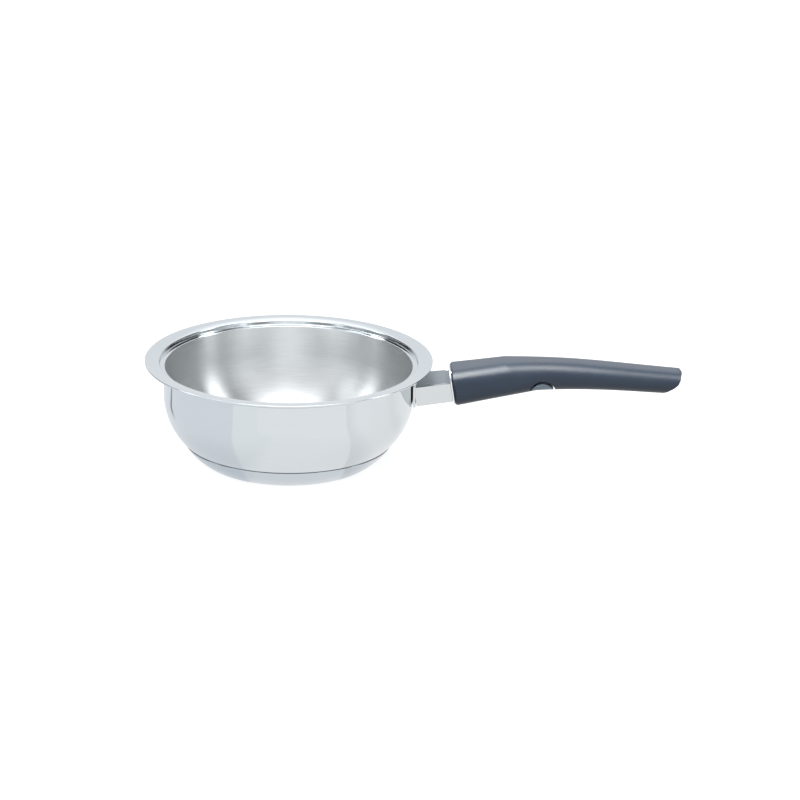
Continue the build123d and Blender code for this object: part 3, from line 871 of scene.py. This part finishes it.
@dataclass
class Bracket:
    """The welded bracket: a rising, tapering arm on a curved foot plate."""

    bowl: Bowl
    rise: float = math.radians(6.7)
    height: float = 16.5 * MM
    root_width: float = 39.0 * MM
    tip_width: float = 34.3 * MM
    reach: float = 30.1 * MM
    edge_round: float = 0.9 * MM
    corner_round: float = 0.15 * MM
    groove_width: float = 2.3 * MM
    groove_depth: float = 0.9 * MM
    groove_setback: float = 0.7 * MM
    end_lift: float = 5.0 * MM
    end_rise: float = math.radians(9.0)
    guard_gap: float = 0.15 * MM
    foot_thickness: float = 2.0 * MM
    foot_width: float = 40.2 * MM
    foot_height: float = 17.4 * MM
    foot_radius: float = 200.0 * MM
    foot_round: float = 0.5 * MM
    foot_steps: int = 24
    edge_steps: int = 4
    foot_corner_steps: int = 3
    corner_steps: int = 2
    sharp_from: float = math.radians(50.0)
    satin_from: float = 0.5
    satin_above: float = 1.02

    def __post_init__(self) -> None:
        """Takes the bracket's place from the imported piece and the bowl's wall."""
        self.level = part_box("handle_bracket")[0].z + self.foot_height / 2
        self.wall = self.bowl.inner_radius + self.bowl.sheet
        self.along = Vector((math.cos(self.rise), 0.0, math.sin(self.rise)))
        self.upward = Vector((-math.sin(self.rise), 0.0, math.cos(self.rise)))

    def end(self, height: float) -> float:
        """How far along the arm its slanting end lies, at a height across it."""
        front = Vector((math.cos(self.end_rise), 0.0, math.sin(self.end_rise)))
        place = Vector((self.reach, 0.0, self.end_lift)) - self.upward * height
        return (place.dot(front) - self.guard_gap) / self.along.dot(front)

    def arm(self, shape: bmesh.types.BMesh) -> None:
        """Adds the arm: its side outline, with the groove near its end, widened by its taper."""
        half = self.height / 2
        groove_end = self.end(half) - self.groove_setback
        groove_start = groove_end - self.groove_width
        root = self.foot_thickness / 2
        outline = [
            (root, -half), (self.end(-half), -half), (self.end(half), half), (groove_end, half),
            (groove_end, half - self.groove_depth), (groove_start, half - self.groove_depth),
            (groove_start, half), (root, half)]
        origin = Vector((self.wall, 0.0, self.level))
        sides = []
        for side in (-1, 1):
            sides.append([shape.verts.new(
                origin + self.along * a + self.upward * h
                + Vector((0.0, side * self.half_width(a), 0.0))) for a, h in outline])
        near, far = sides
        shape.faces.new(near)
        shape.faces.new(far[::-1])
        for i in range(len(outline)):
            j = (i + 1) % len(outline)
            shape.faces.new((near[j], near[i], far[i], far[j]))
        long_edges = [
            shape.edges.get((line[i], line[i + 1])) for line in sides for i in (0, 2, 6)]
        round_edges(shape, long_edges, self.edge_round, self.edge_steps)

    def half_width(self, along: float) -> float:
        """Half the arm's width at a distance along it."""
        return (self.root_width + (self.tip_width - self.root_width) * along / self.reach) / 2

    def foot(self, shape: bmesh.types.BMesh) -> None:
        """Adds the foot plate, bent to a gentler curve than the wall."""
        centre = self.wall - self.foot_radius
        rows = []
        for step in range(self.foot_steps + 1):
            y = self.foot_width * (step / self.foot_steps - 0.5)
            row = []
            for radius in (self.foot_radius, self.foot_radius + self.foot_thickness):
                x = centre + math.sqrt(radius ** 2 - y ** 2)
                row += [shape.verts.new((x, y, self.level + side * self.foot_height / 2))
                        for side in (-1, 1)]
            rows.append(row)
        ring = (0, 2, 3, 1)
        for before, after in zip(rows, rows[1:]):
            for i in range(4):
                a, b = ring[i], ring[(i + 1) % 4]
                shape.faces.new((before[a], after[a], after[b], before[b]))
        shape.faces.new([rows[0][i] for i in ring])
        shape.faces.new([rows[-1][i] for i in ring[::-1]])
        corners = [shape.edges.get((rows[i][2], rows[i][3])) for i in (0, -1)]
        round_edges(shape, corners, self.foot_round, self.foot_corner_steps)

    def build(self, polished: bpy.types.Material, satin: bpy.types.Material) -> bpy.types.Object:
        """Makes the bracket with bright sides and a satin top.

        Args:
            polished: Finish of the sides, the end and the foot.
            satin: Finish of the arm's top.

        Returns:
            The bracket.
        """
        shape = bmesh.new()
        self.foot(shape)
        self.arm(shape)
        bmesh.ops.recalc_face_normals(shape, faces=shape.faces)
        sharp = [
            edge for edge in shape.edges
            if len(edge.link_faces) == 2 and edge.calc_face_angle() > self.sharp_from]
        round_edges(shape, sharp, self.corner_round, self.corner_steps)
        bracket = shape_object("bracket", shape)
        mesh = bracket.data
        mesh.materials.append(polished)
        mesh.materials.append(satin)
        top = self.foot_height / 2 * self.satin_above + self.level
        for face in mesh.polygons:
            face.use_smooth = True
            if face.normal.dot(self.upward) > self.satin_from and (
                    face.center.x > self.wall + self.foot_thickness or face.center.z > top):
                face.material_index = 1
        weigh_normals(bracket)
        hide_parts("handle_bracket")
        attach(bracket, PAN_BODY)
        return bracket


@dataclass
class Coil:
    """The latch's return spring, at the length of the imported piece; the real one shortens as the
    lever's tail comes up.
    """

    wire: float = 0.7 * MM
    turns: int = 6
    steps: int = 32
    sides: int = 12
    shortened: float = 0.85

    def rings(self, shape: bmesh.types.BMesh, low: Vector, high: Vector) -> list[list]:
        """Places the wire's sections along the helix.

        Args:
            shape: The mesh that gets the points.
            low: Lower corner of the spring.
            high: Upper corner of the spring.

        Returns:
            The points of each section, from the lowest up.
        """
        thick = self.wire / 2
        radius = (high.y - low.y) / 2 - thick
        foot = Vector(((low.x + high.x) / 2, (low.y + high.y) / 2, low.z + thick))
        rise = (high.z - low.z - self.wire) / (self.turns * self.steps)
        rings = []
        for step in range(self.turns * self.steps + 1):
            angle = math.tau * step / self.steps
            outward = Vector((math.cos(angle), math.sin(angle), 0.0))
            middle = foot + radius * outward + rise * step * UPWARD
            around = [math.tau * side / self.sides for side in range(self.sides)]
            rings.append([
                shape.verts.new(middle + thick * (math.cos(a) * outward + math.sin(a) * UPWARD))
                for a in around])
        return rings

    def build(self, material: bpy.types.Material) -> bpy.types.Object:
        """Makes the coil as one closed tube.

        Args:
            material: Finish of the wire.

        Returns:
            The coil.
        """
        low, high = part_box("return_spring")
        shape = bmesh.new()
        rings = self.rings(shape, low, high)
        for first, second in zip(rings, rings[1:]):
            for side in range(self.sides):
                after = (side + 1) % self.sides
                shape.faces.new((first[side], second[side], second[after], first[after]))
        shape.faces.new(rings[0])
        shape.faces.new(rings[-1][::-1])
        bmesh.ops.recalc_face_normals(shape, faces=shape.faces)
        coil = shape_object("coil", shape)
        coil.data.materials.append(material)
        for face in coil.data.polygons:
            face.use_smooth = len(face.vertices) < self.sides
        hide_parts("return_spring")
        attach(coil, PAN_BODY)
        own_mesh(coil)
        return coil


@dataclass
class CarriedOver:
    """CAD pieces that keep their shape and get a finish and smooth shading."""

    weld: float = 0.004 * MM
    crease: float = math.radians(28.0)
    knuckle_place: Place = (186.4 * MM, 0.0, 73.8 * MM)
    knuckle_slant: float = math.atan2(26.2, 25.0)
    knuckle_reach: float = 0.03 * MM
    knuckle_crease: float = math.radians(3.0)

    def dress(self, node: bpy.types.Object, material: bpy.types.Material,
              tree: GeometryNodes) -> None:
        """Gives one piece its finish.

        Args:
            node: The CAD piece.
            material: Its finish.
            tree: The tree that shades it smooth.
        """
        node.data.materials.clear()
        node.data.materials.append(material)
        slant = (math.cos(self.knuckle_slant), 0.0, math.sin(self.knuckle_slant))
        tree.modify(node, {
            "Weld": self.weld, "Crease": self.crease, "Line place": self.knuckle_place,
            "Line normal": slant, "Line reach": self.knuckle_reach,
            "Line crease": self.knuckle_crease})
        weigh_normals(node)


@dataclass(frozen=True)
class SideBox:
    """A tall soft box on one side, told by how far back it stands and how bright it is."""

    side: int
    place: float
    lean: float
    low: float
    high: float


@dataclass(frozen=True)
class MirroredShadeBand:
    """A band of painted shade on the floor, with one straight edge, which only polished steel
    mirrors.
    """

    slope: Point
    edge: float
    reach: float
    tone: Colour


@dataclass(frozen=True)
class SoftLamp:
    """A square lamp that points at the object."""

    name: str
    place: Place
    size: float
    power: float


@dataclass
class Table:
    """The pale floor, and the painted light and shade that polished steel mirrors of it."""

    reach: float = 14.0
    sides: int = 96
    lit_tone: Colour = (0.62, 0.63, 0.64)
    seen_tone: Colour = (0.40, 0.40, 0.40)
    seen_glow: float = 0.79
    mirrored_tone: Colour = (0.16, 0.16, 0.16)
    mirrored_glow: float = 0.81
    # Painted light: the floor that the steel mirrors is a little brighter near the pan.
    near_span: Span = (0.085, 0.15)
    near_painted_light: Colour = (1.06, 1.06, 1.06)
    # Bands of painted shade that only the steel mirrors, each with its own darker tone.
    shade_bands: tuple[MirroredShadeBand, ...] = (
        MirroredShadeBand((-0.45, 0.893), -0.168, -0.02, (0.955, 0.975, 0.975)),
        MirroredShadeBand((-0.676, 0.737), -0.025, 0.2, (0.82, 0.85, 0.885)),
    )
    shade_band_soft: float = 0.003
    shade_band_end_soft: float = 0.024
    # A painted shade that fades out from one edge, seen only in reflections.
    painted_fade_slope: Point = (0.676, 0.737)
    painted_fade_edge: float = -0.013
    painted_fade_soft: float = 0.0025
    painted_fade_reach: float = 0.05
    painted_fade_start: Span = (0.0, 0.05)
    painted_fade_tone: Colour = (0.88, 0.89, 0.90)
    # A short dark streak of painted reflection.
    streak_slope: Point = (0.745, 0.667)
    streak_place: float = -0.0967
    streak_width: Span = (0.004, 0.008)
    streak_start: Span = (0.02, 0.07)
    streak_end: Span = (0.08, 0.16)
    painted_streak_tone: Colour = (0.12, 0.13, 0.15)

    def mirrored(self, nodes: ShaderNodes) -> bpy.types.NodeSocket:
        """Painted reflection round the object, which only its polished wall mirrors.

        Args:
            nodes: The floor's shader nodes.

        Returns:
            The colour's socket.
        """
        x, y, _ = nodes.add("SeparateXYZ", {0: nodes.place()}).outputs
        near = nodes.ramp(nodes.polar()[0], self.near_span)
        colour = nodes.mix(near, self.near_painted_light, WHITE)
        # Each band darkens the mirrored floor as painted shade.
        for sheet in self.shade_bands:
            across = self.across(nodes, x, y, sheet.slope)
            inside = nodes.ramp(
                across, (sheet.edge - self.shade_band_soft, sheet.edge + self.shade_band_soft))
            before_end = nodes.ramp(
                x, (sheet.reach - self.shade_band_end_soft, sheet.reach), 1.0, 0.0)
            colour = nodes.mix(nodes.math("MULTIPLY", inside, before_end), colour, sheet.tone)
        return self.painted_streak(nodes, x, y, self.painted_fade(nodes, x, y, colour))

    def across(self, nodes: ShaderNodes, x: Value, y: Value,
               slope: Point) -> bpy.types.NodeSocket:
        """Place on the floor along a level direction."""
        return nodes.math("MULTIPLY_ADD", x, slope[0], nodes.math("MULTIPLY", y, slope[1]))

    def painted_fade(self, nodes: ShaderNodes, x: Value, y: Value,
               colour: bpy.types.NodeSocket) -> bpy.types.NodeSocket:
        """Adds a painted shade that fades out from one straight edge, seen only in reflections."""
        across = self.across(nodes, x, y, self.painted_fade_slope)
        start = nodes.ramp(across, (self.painted_fade_edge, self.painted_fade_edge + self.painted_fade_soft))
        end = nodes.ramp(across, (self.painted_fade_edge, self.painted_fade_edge + self.painted_fade_reach), 1.0, 0.0)
        shade = nodes.math(
            "MULTIPLY", nodes.math("MULTIPLY", start, end), nodes.ramp(x, self.painted_fade_start))
        return nodes.mix(shade, colour, self.painted_fade_tone)

    def painted_streak(self, nodes: ShaderNodes, x: Value, y: Value,
                 colour: bpy.types.NodeSocket) -> bpy.types.NodeSocket:
        """Adds a short dark line of painted reflection behind the object."""
        off = nodes.math("ABSOLUTE", nodes.math(
            "SUBTRACT", self.across(nodes, x, y, self.streak_slope), self.streak_place))
        line = nodes.ramp(off, self.streak_width, 1.0, 0.0)
        length = nodes.math(
            "MULTIPLY", nodes.ramp(y, self.streak_start), nodes.ramp(y, self.streak_end, 1.0, 0.0))
        return nodes.mix(nodes.math("MULTIPLY", line, length), colour, self.painted_streak_tone)

    def build(self) -> None:
        """Lays the floor, white to the camera apart from the object's shadow."""
        shape = bmesh.new()
        bmesh.ops.create_circle(shape, cap_ends=True, segments=self.sides, radius=self.reach)
        floor = shape_object("floor", shape)
        material, nodes = new_material("pale_floor")
        rays = nodes.add("LightPath").outputs
        mirrored = nodes.math("MAXIMUM", rays["Is Glossy Ray"], rays["Is Transmission Ray"])
        plain, shade, faint = (
            nodes.add("BsdfDiffuse", {"Color": opaque(tone)}).outputs[0]
            for tone in (self.lit_tone, self.seen_tone, self.mirrored_tone))
        glow = nodes.add("Emission", {
            "Color": opaque(WHITE), "Strength": self.seen_glow}).outputs[0]
        # Glossy rays see the floor glowing with the painted reflections above.
        toned = nodes.add("Emission", {
            "Color": self.mirrored(nodes), "Strength": self.mirrored_glow}).outputs[0]
        white = nodes.add("AddShader", {0: shade, 1: glow}).outputs[0]
        reflected = nodes.add("AddShader", {0: faint, 1: toned}).outputs[0]
        seen = nodes.add("MixShader", {0: rays["Is Camera Ray"], 1: plain, 2: white}).outputs[0]
        nodes.finish(nodes.add("MixShader", {0: mirrored, 1: seen, 2: reflected}).outputs[0])
        floor.data.materials.append(material)


@dataclass
class Surroundings:
    """The studio's walls and ceiling as a world: bright behind and overhead, dark beside.

    A way's place is its share of the level direction to the back, from -1 in front to 1 behind,
    and its height is its upward part, from 0 level to 1 overhead.
    """

    front_span: Span = (-0.74, -0.28)
    front_rise: Span = (0.15, 0.6)
    front_level: float = 1.05
    high_front_level: float = 0.42
    shoulder_span: Span = (-1.0, -0.8)
    shoulder_gain: float = 1.75
    back_span: Span = (0.66, 0.9)
    back_rise: Span = (0.42, 0.7)
    back_level: float = 0.88
    high_back_level: float = 2.3
    side_level: float = 0.07
    boxes: tuple[SideBox, ...] = (
        SideBox(side=1, place=-0.23, lean=0.30, low=1.3, high=5.2),
        SideBox(side=-1, place=-0.02, lean=0.10, low=0.5, high=5.2),
        SideBox(side=-1, place=-0.42, lean=0.06, low=0.1, high=2.0),
    )
    box_edge: Span = (0.05, 0.2)
    box_rise: Span = (0.15, 0.5)
    box_top: Span = (0.70, 0.86)
    overhead_span: Span = (0.84, 0.96)
    overhead_level: float = 1.0
    tint: Colour = (0.955, 0.98, 1.0)

    def walls(self, nodes: ShaderNodes, towards: Value, height: Value) -> bpy.types.NodeSocket:
        """Level of the walls in front, behind and beside, without the boxes."""
        front = nodes.math("MULTIPLY", nodes.ramp(towards, self.front_span, 1.0, 0.0), nodes.ramp(
            height, self.front_rise, self.front_level, self.high_front_level))
        front = nodes.math("MULTIPLY", front, nodes.ramp(
            towards, self.shoulder_span, 1.0, self.shoulder_gain))
        back = nodes.math("MULTIPLY", nodes.ramp(towards, self.back_span), nodes.ramp(
            height, self.back_rise, self.back_level, self.high_back_level))
        return nodes.math("ADD", nodes.math("ADD", front, back), self.side_level)

    def box(self, nodes: ShaderNodes, box: SideBox, towards: Value,
            height: Value) -> bpy.types.NodeSocket:
        """Level of one box, on both sides alike."""
        middle = nodes.math("MULTIPLY_ADD", height, box.lean, box.place)
        off = nodes.math("ABSOLUTE", nodes.math("SUBTRACT", towards, middle))
        upright = nodes.math("MULTIPLY", nodes.ramp(off, self.box_edge, 1.0, 0.0), nodes.ramp(
            height, self.box_rise, box.low, box.high))
        return nodes.math("MULTIPLY", upright, nodes.ramp(height, self.box_top, 1.0, 0.0))

    def build(self) -> None:
        """Sets the world, white to the camera."""
        world = bpy.data.worlds.new("studio")
        world.use_nodes = True
        bpy.context.scene.world = world
        nodes = ShaderNodes(world.node_tree)
        way = nodes.add("TexCoord").outputs["Generated"]
        x, y, height = nodes.add("SeparateXYZ", {0: way}).outputs
        towards = nodes.math("DIVIDE", y, nodes.math("MAXIMUM", nodes.distance(x, y), MM))
        level = self.walls(nodes, towards, height)
        for box in self.boxes:
            here = nodes.math("GREATER_THAN", nodes.math("MULTIPLY", x, box.side), 0.0)
            level = nodes.math(
                "MULTIPLY_ADD", here, self.box(nodes, box, towards, height), level)
        level = nodes.fade(nodes.ramp(height, self.overhead_span), level, self.overhead_level)
        lit = nodes.add("Background", {
            "Color": opaque(self.tint), "Strength": level}).outputs[0]
        white = nodes.add("Background", {"Color": opaque(WHITE), "Strength": 1.0}).outputs[0]
        seen = nodes.add("LightPath").outputs["Is Camera Ray"]
        nodes.finish(nodes.add("MixShader", {0: seen, 1: lit, 2: white}).outputs[0], "OutputWorld")


@dataclass
class Studio:
    """Floor, surroundings, lamps and the camera."""

    lens: float = 194.9
    sensor: float = 36.0
    clip: float = 60.0
    camera_place: Place = (0.03234, -3.31925, 1.19807)
    pitch: float = 0.332899
    roll: float = 0.012894
    turn: float = math.radians(1.0)
    aim: Place = (0.08, 0.0, 0.04)
    top_lamp: SoftLamp = SoftLamp("top_lamp", (0.0, -0.1, 1.7), size=1.0, power=12.0)
    handle_lamps: tuple[SoftLamp, ...] = (
        SoftLamp("handle_lamp", (-0.3, -0.76, 1.45), size=1.5, power=88.0),
        SoftLamp("handle_back_lamp", (0.2, 1.3, 1.0), size=1.2, power=2.8),
    )

    def camera(self) -> None:
        """Sets the camera at the photograph's viewing angle."""
        data = bpy.data.cameras.new("camera")
        data.lens = self.lens
        data.sensor_width = self.sensor
        data.clip_end = self.clip
        camera = bpy.data.objects.new("camera", data)
        bpy.context.scene.collection.objects.link(camera)
        right = Vector((math.cos(self.turn), -math.sin(self.turn), 0.0))
        ahead = Vector((
            math.sin(self.turn) * math.cos(self.pitch),
            math.cos(self.turn) * math.cos(self.pitch), -math.sin(self.pitch)))
        up = right.cross(ahead)
        leaning_right = right * math.cos(self.roll) + up * math.sin(self.roll)
        leaning_up = up * math.cos(self.roll) - right * math.sin(self.roll)
        axes = Matrix((leaning_right, leaning_up, -ahead)).transposed().to_4x4()
        camera.matrix_world = Matrix.Translation(self.camera_place) @ axes
        bpy.context.scene.camera = camera

    def hang(self, lamp: SoftLamp) -> bpy.types.Object:
        """Hangs one soft lamp that points at the object.

        Args:
            lamp: Its name, place, size in metres and power in watts.

        Returns:
            The lamp.
        """
        data = bpy.data.lights.new(lamp.name, "AREA")
        data.size = lamp.size
        data.energy = lamp.power
        hung = bpy.data.objects.new(lamp.name, data)
        hung.location = lamp.place
        way = Vector(self.aim) - Vector(lamp.place)
        hung.rotation_euler = way.to_track_quat("-Z", "Y").to_euler()
        bpy.context.scene.collection.objects.link(hung)
        return hung

    def build(self, handle: list[bpy.types.Object]) -> None:
        """Sets the whole studio.

        Args:
            handle: The dark pieces, which have lamps of their own, shaded from the bowl.
        """
        bpy.context.scene.view_settings.view_transform = "Standard"
        self.camera()
        Table().build()
        Surroundings().build()
        self.hang(self.top_lamp)
        lit = bpy.data.collections.new("handle_lamp_pieces")
        for piece in handle:
            lit.objects.link(piece)
        for lamp in self.handle_lamps:
            self.hang(lamp).light_linking.receiver_collection = lit


def main() -> None:
    """Builds the visible pieces in order and dresses the ones carried over."""
    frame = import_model()
    nodes = frame["nodes"]
    finishes = Finishes()

    turning = turning_tree()
    bowl = Bowl()
    made = bowl.build(turning, finishes.outside.build(), finishes.inside.build())
    LOG.info("bowl: %d faces", len(made.data.polygons))
    made = Capsule(bowl).build(turning, finishes.underside_painted_shade.build(), finishes.braze.build())
    LOG.info("base cap: %d faces", len(made.data.polygons))
    made = Bracket(bowl).build(finishes.bracket_side.build(), finishes.satin.build())
    LOG.info("bracket: %d faces", len(made.data.polygons))
    made = Coil().build(finishes.wire.build())
    LOG.info("coil: %d faces", len(made.data.polygons))

    worn = (
        (finishes.core, ("base_core",)),
        (finishes.latch, ("latch_tongue", "latch_housing", "latch_lever")),
        (finishes.guard, ("heat_guard",)),
        (finishes.fastener, ("guard_screws", "pivot_pin")),
        (finishes.handle, ("handle_body",)),
        (finishes.plug, ("end_plug",)),
        (finishes.button, ("release_button",)),
    )
    carried = CarriedOver()
    smoothing = smoothing_tree()
    for finish, names in worn:
        material = finish.build()
        for name in names:
            carried.dress(nodes[name], material, smoothing)
            LOG.info("%s: %d faces", name, len(nodes[name].data.polygons))

    Studio().build([nodes[name] for name in ("handle_body", "end_plug", "release_button")])


if __name__ == "__main__":
    logging.basicConfig(level=logging.INFO)
    main()
